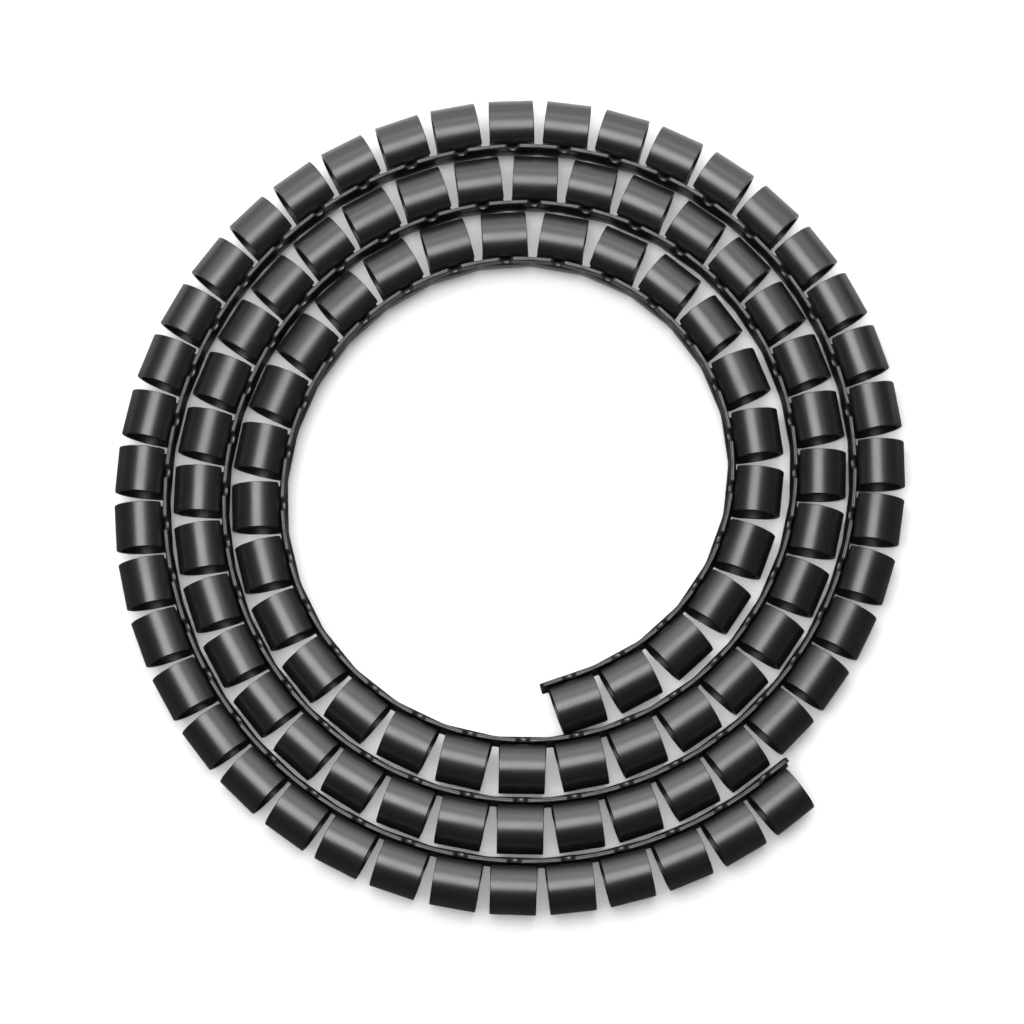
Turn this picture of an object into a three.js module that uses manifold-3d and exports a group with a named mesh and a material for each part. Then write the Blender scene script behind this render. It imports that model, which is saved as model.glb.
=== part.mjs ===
// Slotted cable wrap tube, stored as a flat spiral coil of three turns.
// One plastic tube, slit lengthwise on its inner upper side and cut across into bands that a spine joins.
// Units are millimetres, +Z is up, and the coil lies on z = 0 with its bounding box centred on x = y = 0.

import * as THREE from 'three';
import { mergeVertices } from 'three/addons/utils/BufferGeometryUtils.js';
import Module from 'manifold-3d';

// Tube section: a regular polygon with one side down, its sides counted from there, outward and over the top
const tubeDiameter = 15;
const wall = 1.2;
const sectionSides = 8;

// Bands and the slots between them, measured along the spine
const bandCount = 107;
const bandWidth = 12.2;
const slotWidth = 1.8;
const spineEndLength = 1.8;

// Slit along the tube: its wave rises to a bar across each slot and dips to a notch at each band's middle
const slitSide = 5;
const barTopOffset = -1.1;
const slitGap = 0.5;
const barLength = 11;
const waveDepth = 2;

// Spine's lower edge, on the tube's lower inner side
const spineLowerSide = 7;
const spineLowerOffset = 1.1;

// Flat spiral of the tube's centreline
const innerEndRadius = 60.05;
const innerEndAngle = THREE.MathUtils.degToRad(277);
const turnGap = 0.75;
const ovality = 1.1;
const ovalAngle = THREE.MathUtils.degToRad(56);

// Room for cutters past the surfaces they cut, and the distances under which corners are merged
const cutterMargin = 0.6;
const slitMargin = 1.6;
const mergeDistance = 0.002;
const weldDistance = 1e-4;

const bandPitch = bandWidth + slotWidth;
const facetHalfAngle = Math.PI / sectionSides;
const tubeRadius = tubeDiameter / 2;
const cornerRadius = tubeRadius / Math.cos(facetHalfAngle);
const innerCornerRadius = (tubeRadius - wall) / Math.cos(facetHalfAngle);
const turnSpacing = tubeDiameter + turnGap;
const slotReach = tubeDiameter + turnGap / 2;
const slitAngle = sideAngle(slitSide);
const spineLowerAngle = sideAngle(spineLowerSide);

const wasm = await Module();
wasm.setup();

// Angle in the tube's section that a side faces: zero is outward from the coil, and a quarter turn is up.
function sideAngle(side) {
  return -Math.PI / 2 + side * 2 * facetHalfAngle;
}

// Tube's polygon as points in its section: x outward from the coil, y up.
function sectionPolygon(radius) {
  const points = [];
  for (let side = 0; side < sectionSides; side += 1) {
    const angle = sideAngle(side) + facetHalfAngle;
    points.push(new THREE.Vector2(radius * Math.cos(angle), radius * Math.sin(angle)));
  }
  return points;
}

// Centreline radius of the spiral at an angle counted on from the inner end.
function spiralRadius(angle) {
  const turns = (angle - innerEndAngle) / (2 * Math.PI);
  return innerEndRadius + turnSpacing * turns + ovality * Math.cos(2 * (angle - ovalAngle));
}

// Point of the spiral at an angle, moved outward by an offset.
function spiralPoint(angle, offset) {
  const radius = spiralRadius(angle) + offset;
  return new THREE.Vector2(radius * Math.cos(angle), radius * Math.sin(angle));
}

// Angle past the given one at which the spine has run one chord of the given length.
function angleAfterChord(angle, chord) {
  const start = spiralPoint(angle, -tubeRadius);
  let low = angle;
  let high = angle + Math.PI / 2;
  for (let step = 0; step < 50; step += 1) {
    const middle = (low + high) / 2;
    if (start.distanceTo(spiralPoint(middle, -tubeRadius)) < chord) {
      low = middle;
    } else {
      high = middle;
    }
  }
  return (low + high) / 2;
}

// Straight cells of the coil, one for each band: middle of the spine's chord, its direction and the way outward.
function layOutCells() {
  const cells = [];
  let angle = innerEndAngle;
  for (let band = 0; band < bandCount; band += 1) {
    const nextAngle = angleAfterChord(angle, bandPitch);
    const start = spiralPoint(angle, -tubeRadius);
    const end = spiralPoint(nextAngle, -tubeRadius);
    const along = end.clone().sub(start).normalize();
    const outward = new THREE.Vector2(along.y, -along.x);
    cells.push({ start, end, middle: start.clone().add(end).multiplyScalar(0.5), along, outward });
    angle = nextAngle;
  }
  return cells;
}

// Plan point of a cell: distance along it from its middle, and distance outward from the spine's inner side.
function cellPoint(cell, along, outward) {
  return cell.middle.clone().addScaledVector(cell.along, along).addScaledVector(cell.outward, outward);
}

// Solid from a closed geometry.
function toSolid(geometry) {
  const plain = geometry.clone();
  plain.deleteAttribute('normal');
  plain.deleteAttribute('uv');
  const merged = mergeVertices(plain, weldDistance);
  const vertProperties = new Float32Array(merged.attributes.position.array);
  const triVerts = new Uint32Array(merged.index.array);
  return new wasm.Manifold(new wasm.Mesh({ numProp: 3, vertProperties, triVerts }));
}

// Geometry from a solid.
function toGeometry(solid) {
  const mesh = solid.getMesh();
  const geometry = new THREE.BufferGeometry();
  geometry.setAttribute('position', new THREE.BufferAttribute(mesh.vertProperties, 3));
  geometry.setIndex(new THREE.BufferAttribute(mesh.triVerts, 1));
  return geometry;
}

// Stations of the bent tube: plan point on the spine and the mitred direction outward at each.
function layOutStations(cells) {
  const endReach = bandWidth / 2 + spineEndLength;
  const first = cells[0];
  const last = cells[cells.length - 1];
  const stations = [{ point: cellPoint(first, -endReach, 0), outward: first.outward, stretch: 1 }];
  for (let slot = 1; slot < cells.length; slot += 1) {
    const outward = cells[slot - 1].outward.clone().add(cells[slot].outward).normalize();
    stations.push({ point: cells[slot].start, outward, stretch: 1 / outward.dot(cells[slot].outward) });
  }
  stations.push({ point: cellPoint(last, endReach, 0), outward: last.outward, stretch: 1 });
  return stations;
}

// Tube extruded straight from the outer end, one step for each cell, then bent to the coil.
function bentTube(cells) {
  const section = new THREE.Shape(sectionPolygon(cornerRadius));
  section.holes.push(new THREE.Path(sectionPolygon(innerCornerRadius)));
  const count = cells.length;
  const geometry = new THREE.ExtrudeGeometry(section, { depth: count, steps: count, bevelEnabled: false });
  const stations = layOutStations(cells);
  const position = geometry.attributes.position;
  for (let vertex = 0; vertex < position.count; vertex += 1) {
    const station = stations[count - Math.round(position.getZ(vertex))];
    const reach = (tubeRadius + position.getX(vertex)) * station.stretch;
    const place = station.point.clone().addScaledVector(station.outward, reach);
    position.setXYZ(vertex, place.x, place.y, tubeRadius + position.getY(vertex));
  }
  return toSolid(geometry);
}

// Upright prism over a plan outline, tall enough to pass the whole tube.
function uprightPrism(outline) {
  const height = tubeDiameter + 2 * cutterMargin;
  const geometry = new THREE.ExtrudeGeometry(new THREE.Shape(outline), { depth: height, bevelEnabled: false });
  geometry.translate(0, 0, -cutterMargin);
  return toSolid(geometry);
}

// Point in the tube's section, on the side that faces an angle: up along that side, then out from its surface.
function sidePoint(angle, up, out) {
  const reach = tubeRadius + out;
  const x = reach * Math.cos(angle) + up * Math.sin(angle);
  const y = reach * Math.sin(angle) - up * Math.cos(angle);
  return new THREE.Vector2(tubeRadius + x, tubeRadius + y);
}

// Outline, in a section across the tube, of all that a slot removes: everything but the spine.
function slotSection() {
  const slitMiddle = barTopOffset + slitGap / 2;
  const inward = -wall - cutterMargin;
  const upper = sidePoint(slitAngle, slitMiddle, cutterMargin);
  const lower = sidePoint(spineLowerAngle, spineLowerOffset, cutterMargin);
  return [
    upper,
    sidePoint(slitAngle, slitMiddle, inward),
    sidePoint(spineLowerAngle, spineLowerOffset, inward),
    lower,
    new THREE.Vector2(lower.x, -cutterMargin),
    new THREE.Vector2(slotReach, -cutterMargin),
    new THREE.Vector2(slotReach, tubeDiameter + cutterMargin),
    new THREE.Vector2(upper.x, tubeDiameter + cutterMargin),
  ];
}

// Slot outline as a prism along the coil, centred on a plan point of the spine's inner side.
function slotPrism(point, outward, length) {
  const section = new THREE.Shape(slotSection());
  const geometry = new THREE.ExtrudeGeometry(section, { depth: length, bevelEnabled: false });
  geometry.translate(0, 0, -length / 2);
  const across = new THREE.Vector3(outward.x, outward.y, 0);
  const up = new THREE.Vector3(0, 0, 1);
  const placing = new THREE.Matrix4().makeBasis(across, up, across.clone().cross(up));
  placing.setPosition(point.x, point.y, 0);
  return toSolid(geometry.applyMatrix4(placing));
}

// Wedge between the square ends of two neighbouring bands, down to the spine.
function slotCutter(before, after) {
  const outward = before.outward.clone().add(after.outward).normalize();
  const wedge = uprightPrism([
    cellPoint(before, bandWidth / 2, -cutterMargin),
    cellPoint(before, bandWidth / 2, slotReach),
    after.start.clone().addScaledVector(outward, slotReach + cutterMargin),
    cellPoint(after, -bandWidth / 2, slotReach),
    cellPoint(after, -bandWidth / 2, -cutterMargin),
  ]);
  return wedge.intersect(slotPrism(after.start, outward, 2 * bandWidth));
}

// Block that clears the tube past an end band and leaves the spine standing out. Side is -1 or 1.
function endCutter(cell, side) {
  const length = spineEndLength + cutterMargin;
  return slotPrism(cellPoint(cell, side * (bandWidth + length) / 2, 0), cell.outward, length);
}

// Wavy strip that parts a band's free end from the spine, drawn flat on the tube's side and pushed through its wall.
function slitCutter(cell, reachBefore, reachAfter) {
  const notchBottom = barTopOffset - waveDepth;
  const barEnd = (bandPitch - barLength) / 2;
  const lower = [
    [-reachAfter, barTopOffset],
    [-barEnd, barTopOffset],
    [0, notchBottom],
    [barEnd, barTopOffset],
    [reachBefore, barTopOffset],
  ];
  const upper = lower.map(([back, up]) => [back, up + slitGap]).reverse();
  const outline = lower.concat(upper).map(([back, up]) => new THREE.Vector2(back, up));
  const depth = wall + 2 * slitMargin;
  const geometry = new THREE.ExtrudeGeometry(new THREE.Shape(outline), { depth, bevelEnabled: false });
  const lean = cell.outward.clone().multiplyScalar(Math.cos(slitAngle));
  const facing = new THREE.Vector3(lean.x, lean.y, Math.sin(slitAngle));
  const back = new THREE.Vector3(-cell.along.x, -cell.along.y, 0);
  const axis = cellPoint(cell, 0, tubeRadius);
  const origin = new THREE.Vector3(axis.x, axis.y, tubeRadius);
  origin.addScaledVector(facing, tubeRadius - wall - slitMargin);
  const placing = new THREE.Matrix4().makeBasis(back, facing.clone().cross(back), facing).setPosition(origin);
  return toSolid(geometry.applyMatrix4(placing));
}

// The whole wrap: bent tube, less its slots, its ends and its slit.
function cableWrap() {
  const cells = layOutCells();
  const cutters = [];
  const past = bandPitch / 2 + slotWidth / 4;
  const endPast = bandWidth / 2 + spineEndLength + cutterMargin;
  cells.forEach((cell, index) => {
    const isFirst = index === 0;
    const isLast = index === cells.length - 1;
    cutters.push(slitCutter(cell, isFirst ? endPast : past, isLast ? endPast : past));
    if (!isFirst) {
      cutters.push(slotCutter(cells[index - 1], cell));
    }
  });
  cutters.push(endCutter(cells[0], -1));
  cutters.push(endCutter(cells[cells.length - 1], 1));
  const removed = wasm.Manifold.union(cutters);
  const cut = bentTube(cells).subtract(removed);
  return toGeometry(cut.asOriginal().simplify(mergeDistance));
}

const geometry = cableWrap();
geometry.computeBoundingBox();
const centre = geometry.boundingBox.getCenter(new THREE.Vector3());

const blackPlastic = new THREE.MeshStandardMaterial({ color: 0x1c1c1e, roughness: 0.38, metalness: 0 });
const wrap = new THREE.Mesh(geometry, blackPlastic);
wrap.name = 'cable_wrap';
wrap.position.set(-centre.x, -centre.y, 0);

const group = new THREE.Group();
group.add(wrap);

export default group;
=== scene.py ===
import sys
import logging
import math
import random
from collections.abc import Sequence
from dataclasses import dataclass, field
from enum import Enum

import bmesh
import bpy
from mathutils import Matrix, Vector


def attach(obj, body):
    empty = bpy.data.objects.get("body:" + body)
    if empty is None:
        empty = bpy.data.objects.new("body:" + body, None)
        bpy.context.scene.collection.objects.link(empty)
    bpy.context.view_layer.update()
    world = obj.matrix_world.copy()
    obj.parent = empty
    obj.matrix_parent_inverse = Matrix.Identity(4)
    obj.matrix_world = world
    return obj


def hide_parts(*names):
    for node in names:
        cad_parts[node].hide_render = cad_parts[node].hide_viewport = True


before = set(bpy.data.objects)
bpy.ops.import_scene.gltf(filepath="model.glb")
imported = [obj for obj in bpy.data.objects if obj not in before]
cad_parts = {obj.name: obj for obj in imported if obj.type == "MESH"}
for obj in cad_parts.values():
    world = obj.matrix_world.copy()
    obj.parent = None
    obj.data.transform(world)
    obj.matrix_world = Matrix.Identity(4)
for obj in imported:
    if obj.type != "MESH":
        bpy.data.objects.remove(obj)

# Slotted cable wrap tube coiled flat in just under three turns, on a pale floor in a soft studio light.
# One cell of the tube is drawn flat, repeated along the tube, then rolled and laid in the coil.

LOG = logging.getLogger("cable_wrap_scene")
MILLIMETRE = 0.001

# The flat cell is drawn in millimetres. Points nearer than SAME_PLACE are on one level.
SAME_PLACE = 1e-4
# Cells that meet differ by less than this.
SEAM_MARGIN = 0.01
# Share of a unit normal past which a face counts as square to an axis.
SQUARE_ON = 0.99
# Share of a unit normal under which a face counts as standing on its edge.
UPRIGHT = 0.5
# Halvings of a quarter turn that find the next band's place.
HALVINGS = 50


def linear_colour(hex_colour: str) -> tuple[float, float, float, float]:
    """Turns an sRGB hex value to linear light.

    Args:
        hex_colour: Colour such as "#1b1b1d".

    Returns:
        Red, green, blue and full opacity.
    """
    channels = []
    for place in (1, 3, 5):
        value = int(hex_colour[place:place + 2], 16) / 255
        channels.append(value / 12.92 if value <= 0.04045 else ((value + 0.055) / 1.055) ** 2.4)
    return (channels[0], channels[1], channels[2], 1.0)


def add_node(
    tree: bpy.types.NodeTree,
    kind: str,
    settings: dict[str, object] | None = None,
    sockets: dict[str, object] | None = None,
    links: dict[str | int, bpy.types.NodeSocket] | None = None,
) -> bpy.types.Node:
    """Adds one node with its settings, constants and incoming links.

    Args:
        tree: Node tree that gets the node.
        kind: Blender's name of the node type.
        settings: Properties of the node.
        sockets: Constants for input sockets, by socket name.
        links: Outputs of other nodes, by the name or number of the input they feed.

    Returns:
        The new node.
    """
    node = tree.nodes.new(kind)
    for name, value in (settings or {}).items():
        setattr(node, name, value)
    for name, value in (sockets or {}).items():
        node.inputs[name].default_value = value
    for name, source in (links or {}).items():
        tree.links.new(source, node.inputs[name])
    return node


def bare_material(name: str) -> bpy.types.Material:
    """Makes a material whose node tree is still empty.

    Args:
        name: Name of the material.

    Returns:
        The new material.
    """
    made = bpy.data.materials.new(name)
    made.use_nodes = True
    made.node_tree.nodes.clear()
    return made


def mesh_object(name: str, shape: bmesh.types.BMesh) -> bpy.types.Object:
    """Makes an object of a finished shape, unturned at the origin, and frees the shape.

    Args:
        name: Name of the object and its mesh.
        shape: The finished shape.

    Returns:
        The new object, linked to the scene.
    """
    mesh = bpy.data.meshes.new(name)
    shape.to_mesh(mesh)
    shape.free()
    made = bpy.data.objects.new(name, mesh)
    bpy.context.collection.objects.link(made)
    return made


def smooth_step(value: float, low: float, high: float) -> float:
    """Share from 0 at low to 1 at high, level at both ends."""
    share = min(max((value - low) / (high - low), 0.0), 1.0)
    return share * share * (3 - 2 * share)


class PlasticFace(Enum):
    """Kinds of surface on the tube, by their material slot."""

    SKIN = 0
    CUT = 1


@dataclass(frozen=True)
class ExtrudedPolyethylene:
    """Black polyethylene as it leaves the extrusion die: semi-gloss, with faint lines along the tube.

    Lengths are in millimetres. The gloss changes softly in blotches, between smoothest and roughest.
    """

    name: str = "extruded_black_polyethylene"
    colour: str = "#111113"
    ior: float = 1.51
    smoothest: float = 0.29
    roughest: float = 0.36
    die_line_spacing: float = 0.9
    die_line_length: float = 40.0
    die_line_height: float = 0.012
    die_line_strength: float = 0.5
    blotch_size: float = 9.0
    blotch_low: float = 0.3
    blotch_high: float = 0.7

    def material(self) -> bpy.types.Material:
        """Makes the material.

        Returns:
            The skin's material. Its die lines are drawn a little coarser than real ones, so that they show.
        """
        made = bare_material(self.name)
        tree = made.node_tree
        unrolled = add_node(tree, "ShaderNodeUVMap", {"uv_map": "unrolled"})
        stretch = (1 / (self.die_line_length * MILLIMETRE), 1 / (self.die_line_spacing * MILLIMETRE), 1.0)
        along = add_node(
            tree, "ShaderNodeMapping", sockets={"Scale": stretch}, links={"Vector": unrolled.outputs["UV"]}
        )
        lines = add_node(
            tree,
            "ShaderNodeTexNoise",
            sockets={"Scale": 1.0, "Detail": 3.0, "Roughness": 0.6},
            links={"Vector": along.outputs["Vector"]},
        )
        relief = add_node(
            tree,
            "ShaderNodeBump",
            sockets={"Strength": self.die_line_strength, "Distance": self.die_line_height * MILLIMETRE},
            links={"Height": lines.outputs["Fac"]},
        )
        place = add_node(tree, "ShaderNodeTexCoord")
        blotches = add_node(
            tree,
            "ShaderNodeTexNoise",
            sockets={"Scale": 1 / (self.blotch_size * MILLIMETRE), "Detail": 4.0, "Roughness": 0.55},
            links={"Vector": place.outputs["Object"]},
        )
        gloss = add_node(
            tree,
            "ShaderNodeMapRange",
            sockets={
                "From Min": self.blotch_low, "From Max": self.blotch_high,
                "To Min": self.smoothest, "To Max": self.roughest,
            },
            links={"Value": blotches.outputs["Fac"]},
        )
        shader = add_node(
            tree,
            "ShaderNodeBsdfPrincipled",
            sockets={"Base Color": linear_colour(self.colour), "IOR": self.ior},
            links={"Roughness": gloss.outputs["Result"], "Normal": relief.outputs["Normal"]},
        )
        add_node(tree, "ShaderNodeOutputMaterial", links={"Surface": shader.outputs["BSDF"]})
        return made


@dataclass(frozen=True)
class SawnPolyethylene:
    """Black polyethylene where the slots and the slit were cut: a little paler and duller than the skin.

    Lengths are in millimetres.
    """

    name: str = "sawn_black_polyethylene"
    colour: str = "#222224"
    ior: float = 1.51
    roughness: float = 0.36
    saw_mark_spacing: float = 0.35
    saw_mark_height: float = 0.02
    saw_mark_strength: float = 0.4

    def material(self) -> bpy.types.Material:
        """Makes the material.

        Returns:
            The cut faces' material.
        """
        made = bare_material(self.name)
        tree = made.node_tree
        place = add_node(tree, "ShaderNodeTexCoord")
        marks = add_node(
            tree,
            "ShaderNodeTexNoise",
            sockets={"Scale": 1 / (self.saw_mark_spacing * MILLIMETRE), "Detail": 2.0},
            links={"Vector": place.outputs["Object"]},
        )
        relief = add_node(
            tree,
            "ShaderNodeBump",
            sockets={"Strength": self.saw_mark_strength, "Distance": self.saw_mark_height * MILLIMETRE},
            links={"Height": marks.outputs["Fac"]},
        )
        shader = add_node(
            tree,
            "ShaderNodeBsdfPrincipled",
            sockets={"Base Color": linear_colour(self.colour), "IOR": self.ior, "Roughness": self.roughness},
            links={"Normal": relief.outputs["Normal"]},
        )
        add_node(tree, "ShaderNodeOutputMaterial", links={"Surface": shader.outputs["BSDF"]})
        return made


@dataclass(frozen=True)
class MattPaper:
    """White studio paper, lit from below as on a light table, which keeps its shadows pale.

    In the tube's reflections the paper is painted dark in front and bright behind: painted shade and painted
    light, not lit so by the lamps. The change lies between fade_from and fade_to along Y, in metres.
    """

    name: str = "matt_studio_paper"
    colour: str = "#dadadb"
    roughness: float = 0.9
    glow: float = 0.1
    fade_from: float = 0.02
    fade_to: float = 0.11
    painted_shade_in_gloss: float = 0.08
    painted_light_in_gloss: float = 0.7

    def material(self) -> bpy.types.Material:
        """Makes the material.

        Returns:
            The floor's material. Only the camera sees its glow; reflections see its painted shade and light.
        """
        made = bare_material(self.name)
        tree = made.node_tree
        ray = add_node(tree, "ShaderNodeLightPath")
        paper = add_node(
            tree, "ShaderNodeBsdfDiffuse",
            sockets={"Color": linear_colour(self.colour), "Roughness": self.roughness},
        )
        glow = add_node(
            tree, "ShaderNodeMath", {"operation": "MULTIPLY"}, links={0: ray.outputs["Is Camera Ray"]}
        )
        glow.inputs[1].default_value = self.glow
        table = add_node(
            tree, "ShaderNodeEmission", sockets={"Color": linear_colour(self.colour)},
            links={"Strength": glow.outputs["Value"]},
        )
        lit = add_node(
            tree, "ShaderNodeAddShader", links={0: paper.outputs["BSDF"], 1: table.outputs["Emission"]}
        )
        place = add_node(tree, "ShaderNodeTexCoord")
        side = add_node(tree, "ShaderNodeSeparateXYZ", links={"Vector": place.outputs["Object"]})
        # Painted shade and painted light for reflections only: the mirrored paper is dark in front and
        # bright behind.
        fade = add_node(
            tree, "ShaderNodeMapRange",
            sockets={
                "From Min": self.fade_from, "From Max": self.fade_to,
                "To Min": self.painted_shade_in_gloss, "To Max": self.painted_light_in_gloss,
            },
            links={"Value": side.outputs["Y"]},
        )
        dim = add_node(tree, "ShaderNodeBsdfDiffuse", links={"Color": fade.outputs["Result"]})
        # Glossy rays see this painted-shade paper in place of the lit one.
        mixed = add_node(
            tree, "ShaderNodeMixShader",
            links={"Fac": ray.outputs["Is Glossy Ray"], 1: lit.outputs["Shader"], 2: dim.outputs["BSDF"]},
        )
        add_node(tree, "ShaderNodeOutputMaterial", links={"Surface": mixed.outputs["Shader"]})
        return made


@dataclass
class BandPlace:
    """Straight place of one band in plan, in millimetres, with half the turn to each neighbour."""

    middle: Vector
    along: Vector
    outward: Vector
    half_turn_before: float = 0.0
    half_turn_after: float = 0.0


@dataclass(frozen=True)
class FlatSpiral:
    """Flat spiral that the tube is coiled in, in millimetres, as the solid part lays it out.

    As in the photograph, the inner turn lies a little to the left and its last band a little loosely.
    """

    band_count: int = 107
    band_width: float = 12.2
    slot_width: float = 1.8
    tube_radius: float = 7.5
    turn_gap: float = 0.75
    inner_end_radius: float = 60.05
    inner_end_angle: float = math.radians(277)
    ovality: float = 1.1
    oval_angle: float = math.radians(56)
    inner_turn_shift: float = -1.3
    loose_end_turn: float = math.radians(5.5)

    @property
    def band_pitch(self) -> float:
        """Distance from band to band along the spine."""
        return self.band_width + self.slot_width

    def spine_point(self, angle: float) -> Vector:
        """Point of the spine in plan.

        Args:
            angle: Angle round the coil's middle, counted on from the inner end's.

        Returns:
            The point, shifted sideways at the inner end and less and less over the first turn.
        """
        turns = (angle - self.inner_end_angle) / math.tau
        radius = self.inner_end_radius + (2 * self.tube_radius + self.turn_gap) * turns
        radius += self.ovality * math.cos(2 * (angle - self.oval_angle)) - self.tube_radius
        shift = self.inner_turn_shift * (1 - smooth_step(turns, 0.0, 1.0))
        return Vector((radius * math.cos(angle) + shift, radius * math.sin(angle)))

    def angle_after_chord(self, angle: float) -> float:
        """Finds where a band ends.

        Args:
            angle: Angle at which the band starts.

        Returns:
            Angle at which the spine is one band pitch away from there.
        """
        start = self.spine_point(angle)
        low = angle
        high = angle + math.pi / 2
        for _ in range(HALVINGS):
            middle = (low + high) / 2
            if (self.spine_point(middle) - start).length < self.band_pitch:
                low = middle
            else:
                high = middle
        return (low + high) / 2

    def places(self) -> list[BandPlace]:
        """Lays the bands out.

        Returns:
            One place for each band, from the inner end, centred as the solid part is.
        """
        laid = []
        angle = self.inner_end_angle
        for _ in range(self.band_count):
            next_angle = self.angle_after_chord(angle)
            start = self.spine_point(angle)
            end = self.spine_point(next_angle)
            along = (end - start).normalized()
            laid.append(BandPlace((start + end) / 2, along, Vector((along.y, -along.x))))
            angle = next_angle
        self.loosen_end(laid[0])
        for before, after in zip(laid, laid[1:]):
            half_turn = before.along.angle(after.along) / 2
            before.half_turn_after = half_turn
            after.half_turn_before = half_turn
        centre = self.box_centre(laid)
        for place in laid:
            place.middle -= centre
        return laid

    def loosen_end(self, first: BandPlace) -> None:
        """Turns the first band about its joint with the second, as a loose end straightens.

        Args:
            first: Place of the band at the inner end, turned in place.
        """
        joint = first.middle + first.along * self.band_pitch / 2
        spread = Matrix.Rotation(self.loose_end_turn, 2)
        first.along = spread @ first.along
        first.outward = spread @ first.outward
        first.middle = joint - first.along * self.band_pitch / 2

    def box_centre(self, laid: list[BandPlace]) -> Vector:
        """Middle of the box round all the bands' outer corners.

        Args:
            laid: Places of the bands.

        Returns:
            The middle of that box in plan.
        """
        corners = []
        for place in laid:
            for side in (-0.5, 0.5):
                reach = place.outward * 2 * self.tube_radius
                corners.append(place.middle + place.along * side * self.band_width + reach)
        lowest = Vector((min(corner.x for corner in corners), min(corner.y for corner in corners)))
        highest = Vector((max(corner.x for corner in corners), max(corner.y for corner in corners)))
        return (lowest + highest) / 2


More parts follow.
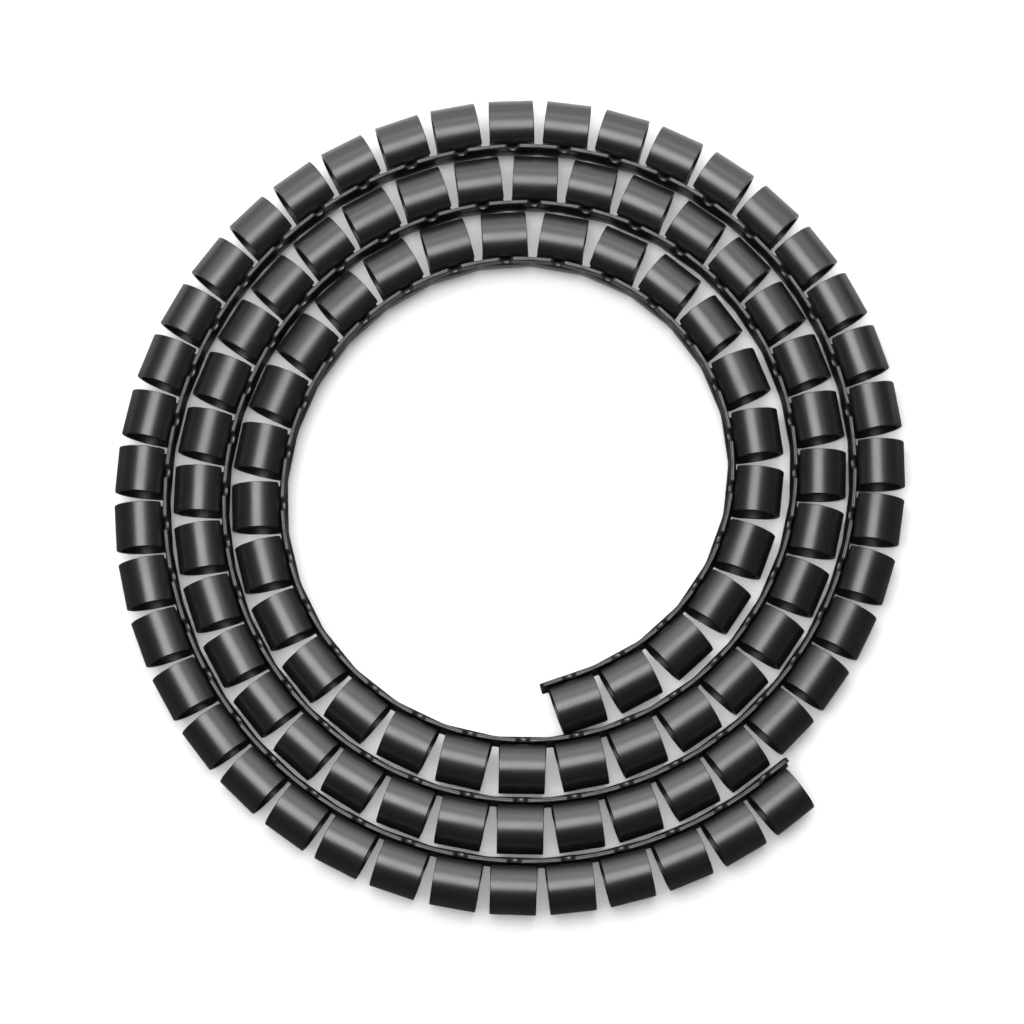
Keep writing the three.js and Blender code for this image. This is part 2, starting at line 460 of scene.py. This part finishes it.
@dataclass
class FlatCell:
    """One band with its stretch of spine, drawn flat in millimetres.

    X runs along the tube, y round it from the bar's top edge, and z out through the wall, zero at the skin.
    A share is one of the wall's thickness down from the skin, or of the slot's half width out from the band.
    """

    spiral: FlatSpiral
    wall: float = 1.2
    spine_width: float = 9.7
    notch_width: float = 2.8
    notch_depth: float = 2.1
    slit_gap: float = 0.15
    band_corner: float = 0.7
    slot_corner: float = 0.45
    bar_corner: float = 0.75
    notch_corner: float = 1.25
    corner_segments: int = 3
    groove_share: float = 0.5
    ridge_shares: tuple[float, ...] = (0.2, 0.42, groove_share, 0.58, 0.8)
    groove_depth: float = 0.4
    side_depth: float = 0.5
    skin_edge: float = 0.2
    skin_edge_segments: int = 2
    bore_edge: float = 0.12
    bore_edge_segments: int = 1
    facet_angle: float = math.radians(7.5)
    spine_bend_shares: tuple[float, ...] = (0.0, 0.5)

    @property
    def free_end(self) -> float:
        """Length round the tube from the bar's top edge to the band's free end."""
        return math.tau * self.spiral.tube_radius - self.slit_gap

    def outline(self) -> list[tuple[float, float, float]]:
        """Outline of the cell.

        Returns:
            Corners as x, y and the size that rounds the corner.
        """
        half_pitch = self.spiral.band_pitch / 2
        half_band = self.spiral.band_width / 2
        half_notch = self.notch_width / 2
        right = [
            (half_notch, self.notch_depth, self.notch_corner),
            (half_notch, 0.0, self.bar_corner),
            (half_pitch, 0.0, 0.0),
            (half_pitch, self.spine_width, 0.0),
            (half_band, self.spine_width, self.slot_corner),
            (half_band, self.free_end, self.band_corner),
        ]
        left = [(-x, y, rounding) for x, y, rounding in reversed(right)]
        return right + left

    def build(self) -> bmesh.types.BMesh:
        """Builds the cell as a slab with rounded edges, open where it meets its neighbours.

        Returns:
            The flat cell, cut into strips that bend when it is rolled.
        """
        cell = bmesh.new()
        corners = self.outline()
        points = [cell.verts.new((x, y, 0.0)) for x, y, _ in corners]
        cell.faces.new(points)
        for point, (_, _, rounding) in zip(points, corners):
            if rounding:
                bmesh.ops.bevel(
                    cell, geom=[point], offset=rounding, offset_type="OFFSET",
                    segments=self.corner_segments, profile=0.5, affect="VERTICES", material=-1,
                )
        self.thicken(cell)
        self.groove_bars(cell)
        self.soften(cell)
        self.cut_strips(cell)
        return cell

    def thicken(self, cell: bmesh.types.BMesh) -> None:
        """Gives the flat face its wall and opens the ends that meet the neighbouring cells.

        Args:
            cell: The flat face, changed in place.
        """
        cell_end = self.spiral.band_pitch / 2 - SAME_PLACE
        grown = bmesh.ops.extrude_face_region(cell, geom=cell.faces[:])
        moved = [part for part in grown["geom"] if isinstance(part, bmesh.types.BMVert)]
        bmesh.ops.translate(cell, verts=moved, vec=(0.0, 0.0, -self.wall))
        bmesh.ops.recalc_face_normals(cell, faces=cell.faces[:])
        ends = [face for face in cell.faces if all(abs(point.co.x) > cell_end for point in face.verts)]
        bmesh.ops.delete(cell, geom=ends, context="FACES_ONLY")
        for face in cell.faces:
            is_cut = abs(face.normal.z) < UPRIGHT
            face.material_index = PlasticFace.CUT.value if is_cut else PlasticFace.SKIN.value

    def groove_bars(self, cell: bmesh.types.BMesh) -> None:
        """Leaves two thin ridges along the bars' cut top, between a groove and two edges that are cut away.

        Args:
            cell: The slab, changed in place.
        """
        for share in self.ridge_shares:
            bars = [
                face for face in cell.faces
                if face.normal.y < -SQUARE_ON and face.calc_center_median().y < SEAM_MARGIN
            ]
            self.cut_faces(cell, bars, (0.0, 0.0, -share * self.wall), (0.0, 0.0, 1.0))
        bar_end = self.notch_width / 2 + self.bar_corner + SEAM_MARGIN
        groove = -self.groove_share * self.wall
        for point in cell.verts:
            if abs(point.co.y) > SAME_PLACE or abs(point.co.x) < bar_end:
                continue
            if abs(point.co.z - groove) < SAME_PLACE:
                point.co.y += self.groove_depth
            elif point.co.z > -SAME_PLACE or point.co.z < SAME_PLACE - self.wall:
                point.co.y += self.side_depth

    def soften(self, cell: bmesh.types.BMesh) -> None:
        """Rounds the edges where the cuts meet the skin and the bore.

        Args:
            cell: The slab, changed in place.
        """
        rims = (
            (0.0, self.skin_edge, self.skin_edge_segments),
            (-self.wall, self.bore_edge, self.bore_edge_segments),
        )
        for height, size, segments in rims:
            rim = []
            for edge in cell.edges:
                on_level = all(abs(point.co.z - height) < SAME_PLACE for point in edge.verts)
                kinds = {face.material_index for face in edge.link_faces}
                if on_level and len(kinds) == 2:
                    rim.append(edge)
            bmesh.ops.bevel(
                cell, geom=rim, offset=size, offset_type="OFFSET", segments=segments, profile=0.5,
                affect="EDGES", clamp_overlap=True, material=-1,
            )

    def cut_strips(self, cell: bmesh.types.BMesh) -> None:
        """Cuts the slab into strips round the tube, and the spine at each slot into short lengths.

        Args:
            cell: The slab, changed in place.
        """
        step = self.spiral.tube_radius * self.facet_angle
        for count in range(1, int(self.free_end / step) + 1):
            everything = cell.verts[:] + cell.edges[:] + cell.faces[:]
            bmesh.ops.bisect_plane(
                cell, geom=everything, dist=SAME_PLACE, plane_co=(0.0, count * step, 0.0),
                plane_no=(0.0, 1.0, 0.0),
            )
        half_band = self.spiral.band_width / 2
        for share in self.spine_bend_shares:
            for side in (-1, 1):
                reach = side * (half_band + share * self.spiral.slot_width / 2)
                spine = [face for face in cell.faces if face.calc_center_median().y < self.spine_width]
                self.cut_faces(cell, spine, (reach, 0.0, 0.0), (1.0, 0.0, 0.0))

    def cut_faces(
        self,
        cell: bmesh.types.BMesh,
        faces: list[bmesh.types.BMFace],
        place: tuple[float, float, float],
        axis: tuple[float, float, float],
    ) -> None:
        """Cuts some of the cell's faces along a plane.

        Args:
            cell: The slab, changed in place.
            faces: The faces that are cut where the plane passes through them.
            place: A point of the plane.
            axis: The plane's normal.
        """
        touched = {part for face in faces for part in (*face.verts, *face.edges)}
        bmesh.ops.bisect_plane(
            cell, geom=faces + list(touched), dist=SAME_PLACE, plane_co=place, plane_no=axis
        )


@dataclass
class CableWrap:
    """The coiled tube: flat cells joined in one strip, rolled to the tube and laid along the spiral.

    Lengths are in millimetres. Each band is turned and twisted a little by chance, up to band_turn and
    band_twist, and its free end sinks a little.
    """

    spiral: FlatSpiral = field(default_factory=FlatSpiral)
    slit_angle: float = math.radians(145)
    spine_flat_angle: float = math.radians(176)
    end_spine: float = 1.8
    band_turn: float = math.radians(0.7)
    band_twist: float = math.radians(0.8)
    free_end_droop: float = 0.75
    droop_length: float = 9.0
    droop_power: float = 1.5
    spine_blend: float = 7.0
    spine_shift: float = 0.2
    seed: int = 5
    shading_weight: int = 60
    skin: ExtrudedPolyethylene = ExtrudedPolyethylene()
    cut: SawnPolyethylene = SawnPolyethylene()

    def build(self) -> bpy.types.Object:
        """Builds the tube in place.

        Returns:
            The piece, with its materials in the order of the kinds of surface.
        """
        flat = FlatCell(self.spiral)
        strip = self.joined_strip(flat.build())
        self.unroll_map(strip)
        self.coil(strip, flat)
        bmesh.ops.recalc_face_normals(strip, faces=strip.faces[:])
        for face in strip.faces:
            face.smooth = True
        piece = mesh_object("coiled_tube", strip)
        piece.data.materials.append(self.skin.material())
        piece.data.materials.append(self.cut.material())
        shading = piece.modifiers.new("even_shading", "WEIGHTED_NORMAL")
        shading.keep_sharp = True
        shading.weight = self.shading_weight
        return piece

    def joined_strip(self, cell: bmesh.types.BMesh) -> bmesh.types.BMesh:
        """Repeats the cell along the tube and closes the strip.

        Args:
            cell: The flat cell at the inner end.

        Returns:
            The whole tube as one flat strip.
        """
        first = cell.verts[:] + cell.edges[:] + cell.faces[:]
        for index in range(1, self.spiral.band_count):
            copied = bmesh.ops.duplicate(cell, geom=first)
            points = [part for part in copied["geom"] if isinstance(part, bmesh.types.BMVert)]
            bmesh.ops.translate(cell, verts=points, vec=(index * self.spiral.band_pitch, 0.0, 0.0))
        seam = {point for edge in cell.edges if edge.is_boundary for point in edge.verts}
        bmesh.ops.remove_doubles(cell, verts=list(seam), dist=SEAM_MARGIN)
        rims = [edge for edge in cell.edges if edge.is_boundary]
        bmesh.ops.holes_fill(cell, edges=rims, sides=0)
        return cell

    def unroll_map(self, strip: bmesh.types.BMesh) -> None:
        """Writes each point's place on the flat strip, in metres, as the strip's UV map.

        Args:
            strip: The flat strip, which gets the map.
        """
        layer = strip.loops.layers.uv.new("unrolled")
        for face in strip.faces:
            for loop in face.loops:
                loop[layer].uv = (loop.vert.co.x * MILLIMETRE, loop.vert.co.y * MILLIMETRE)

    def coil(self, strip: bmesh.types.BMesh, flat: FlatCell) -> None:
        """Rolls the strip to the tube and lays it along the spiral.

        Args:
            strip: The flat strip, moved in place.
            flat: The cell that it was made of.
        """
        chance = random.Random(self.seed)
        places = self.spiral.places()
        turns = [chance.uniform(-self.band_turn, self.band_turn) for _ in places]
        twists = [chance.uniform(-self.band_twist, self.band_twist) for _ in places]
        radius = self.spiral.tube_radius
        for point in strip.verts:
            index = min(max(round(point.co.x / self.spiral.band_pitch), 0), len(places) - 1)
            along = point.co.x - index * self.spiral.band_pitch
            freedom = smooth_step(point.co.y, flat.spine_width, flat.spine_width + radius)
            twist = freedom * twists[index]
            outward, height = self.section_point(point.co.y, point.co.z, flat, twist)
            along += freedom * turns[index] * outward
            bent = 1 - smooth_step(point.co.y, flat.spine_width, flat.spine_width + self.spine_blend)
            plan = self.plan_point(places[index], along, outward, bent)
            point.co = Vector((plan.x, plan.y, height)) * MILLIMETRE

    def section_point(
        self, round_length: float, depth: float, flat: FlatCell, twist: float
    ) -> tuple[float, float]:
        """Point in the tube's section.

        Args:
            round_length: Length round the tube from the bar's top edge.
            depth: Height over the skin, less than zero inside the wall.
            flat: The flat cell.
            twist: Angle that the band is turned by round the tube.

        Returns:
            Distance outward from the spine's inner side, and height over the floor. The spine's upper part
            is flat and nearly upright, and a band sinks a little towards its free end.
        """
        radius = self.spiral.tube_radius
        angle = self.slit_angle + round_length / radius
        wall_angle = max(angle, self.spine_flat_angle)
        skin = radius / math.cos(wall_angle - angle)
        past_crown = max(round_length - flat.free_end + self.droop_length, 0.0) / self.droop_length
        skin -= self.free_end_droop * past_crown ** self.droop_power
        across = skin * math.cos(angle + twist) + depth * math.cos(wall_angle + twist)
        up = skin * math.sin(angle + twist) + depth * math.sin(wall_angle + twist)
        return radius + across, radius + up

    def plan_point(self, place: BandPlace, along: float, outward: float, bent: float) -> Vector:
        """Point of the coil in plan.

        Args:
            place: The band's place.
            along: Distance along the tube from the band's middle.
            outward: Distance outward from the spine's inner side.
            bent: Share from 0 on the straight band to 1 on the spine, which bends evenly along the coil.

        Returns:
            The point, with the spine straight past the tube's ends.
        """
        half_band = self.spiral.band_width / 2
        half_pitch = self.spiral.band_pitch / 2
        side = 1 if along > 0 else -1
        half_turn = place.half_turn_after if side > 0 else place.half_turn_before
        straight = place.middle + place.along * along + place.outward * outward
        if half_turn == 0:
            past = max(abs(along) - half_band, 0.0)
            stretch = self.end_spine / (half_pitch - half_band) - 1
            return straight + place.along * side * past * stretch
        bend_radius = half_pitch / math.tan(half_turn)
        bend_angle = half_turn * abs(along) / half_pitch
        facing = place.outward * math.cos(bend_angle) + place.along * side * math.sin(bend_angle)
        centre = place.middle - place.outward * bend_radius
        on_spine = centre + facing * (bend_radius + outward + self.spine_shift)
        return straight.lerp(on_spine, bent)


@dataclass
class StudioFloor:
    """Pale paper floor just under the coil, in metres."""

    half_size: float = 3.0
    drop: float = 0.00005
    finish: MattPaper = MattPaper()

    def build(self) -> bpy.types.Object:
        """Builds the floor.

        Returns:
            The floor's object.
        """
        sheet = bmesh.new()
        bmesh.ops.create_grid(sheet, x_segments=1, y_segments=1, size=self.half_size)
        bmesh.ops.translate(sheet, verts=sheet.verts[:], vec=(0.0, 0.0, -self.drop))
        floor = mesh_object("studio_floor", sheet)
        floor.data.materials.append(self.finish.material())
        return floor


@dataclass(frozen=True)
class SoftPanel:
    """Rectangular soft light at a place in the studio, in metres, aimed at the coil's middle."""

    name: str
    place: tuple[float, float, float]
    width: float
    depth: float
    radiance: float

    def build(self) -> bpy.types.Object:
        """Builds the light, out of the camera's sight.

        Returns:
            The light's object.
        """
        lamp = bpy.data.lights.new(self.name, "AREA")
        lamp.shape = "RECTANGLE"
        lamp.size = self.width
        lamp.size_y = self.depth
        lamp.energy = self.radiance * math.pi * self.width * self.depth
        panel = bpy.data.objects.new(self.name, lamp)
        panel.location = self.place
        panel.rotation_euler = Vector(self.place).to_track_quat("Z", "Y").to_euler()
        panel.visible_camera = False
        bpy.context.collection.objects.link(panel)
        return panel


@dataclass
class Studio:
    """Soft lights, grey surroundings for the tube to mirror, and a white backdrop for the camera."""

    panels: tuple[SoftPanel, ...] = (
        SoftPanel("overhead_softbox", (-0.11, -0.003, 0.802), width=0.5, depth=0.58, radiance=11.0),
        SoftPanel("bounce_panel", (0.0, 0.65, 0.914), width=1.4, depth=0.7, radiance=3.0),
        SoftPanel("back_panel", (0.0, 1.612, 0.799), width=3.2, depth=1.6, radiance=2.2),
    )
    surround: str = "#8c8c8c"
    surround_strength: float = 0.3
    backdrop: str = "#ffffff"
    backdrop_strength: float = 1.0

    def build(self) -> list[bpy.types.Object]:
        """Builds the lights and the world.

        Returns:
            The lights' objects.
        """
        world = bpy.data.worlds.new("studio")
        world.use_nodes = True
        tree = world.node_tree
        tree.nodes.clear()
        seen = add_node(tree, "ShaderNodeLightPath")
        around = add_node(
            tree, "ShaderNodeBackground",
            sockets={"Color": linear_colour(self.surround), "Strength": self.surround_strength},
        )
        behind = add_node(
            tree, "ShaderNodeBackground",
            sockets={"Color": linear_colour(self.backdrop), "Strength": self.backdrop_strength},
        )
        mixed = add_node(
            tree, "ShaderNodeMixShader",
            links={
                "Fac": seen.outputs["Is Camera Ray"],
                1: around.outputs["Background"],
                2: behind.outputs["Background"],
            },
        )
        add_node(tree, "ShaderNodeOutputWorld", links={"Surface": mixed.outputs["Shader"]})
        bpy.context.scene.world = world
        bpy.context.scene.view_settings.view_transform = "Standard"
        return [panel.build() for panel in self.panels]


@dataclass
class CatalogueCamera:
    """Camera that looks down on the coil from the -Y side, as the catalogue picture does.

    Target and distance are in metres, azimuth and elevation in degrees, lens and sensor in millimetres.
    """

    target: tuple[float, float, float] = (0.00058, -0.00258, 0.0)
    azimuth: float = 0.9
    elevation: float = 81.0
    distance: float = 0.7
    lens: float = 90.6
    sensor_width: float = 36.0

    def build(self) -> bpy.types.Object:
        """Builds the camera and makes it the scene's.

        Returns:
            The camera's object.
        """
        lens = bpy.data.cameras.new("catalogue_camera")
        lens.lens = self.lens
        lens.sensor_width = self.sensor_width
        height = math.radians(self.elevation)
        turn = math.radians(self.azimuth)
        level = math.cos(height)
        way = Vector((math.sin(turn) * level, -math.cos(turn) * level, math.sin(height)))
        camera = bpy.data.objects.new("catalogue_camera", lens)
        camera.location = Vector(self.target) + way * self.distance
        camera.rotation_euler = way.to_track_quat("Z", "Y").to_euler()
        bpy.context.collection.objects.link(camera)
        bpy.context.scene.camera = camera
        return camera


def main() -> None:
    """Builds the coil, the floor, the lights and the camera."""
    logging.basicConfig(level=logging.INFO, format="%(message)s", stream=sys.stdout)
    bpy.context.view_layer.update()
    tube = CableWrap().build()
    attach(tube, "root")
    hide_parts("cable_wrap")
    triangles = sum(len(face.vertices) - 2 for face in tube.data.polygons)
    LOG.info("coiled tube: %d triangles", triangles)
    floor = StudioFloor().build()
    LOG.info("floor: %s", floor.name)
    for panel in Studio().build():
        LOG.info("light: %s", panel.name)
    camera = CatalogueCamera().build()
    LOG.info("camera: %s", camera.name)


if __name__ == "__main__":
    main()
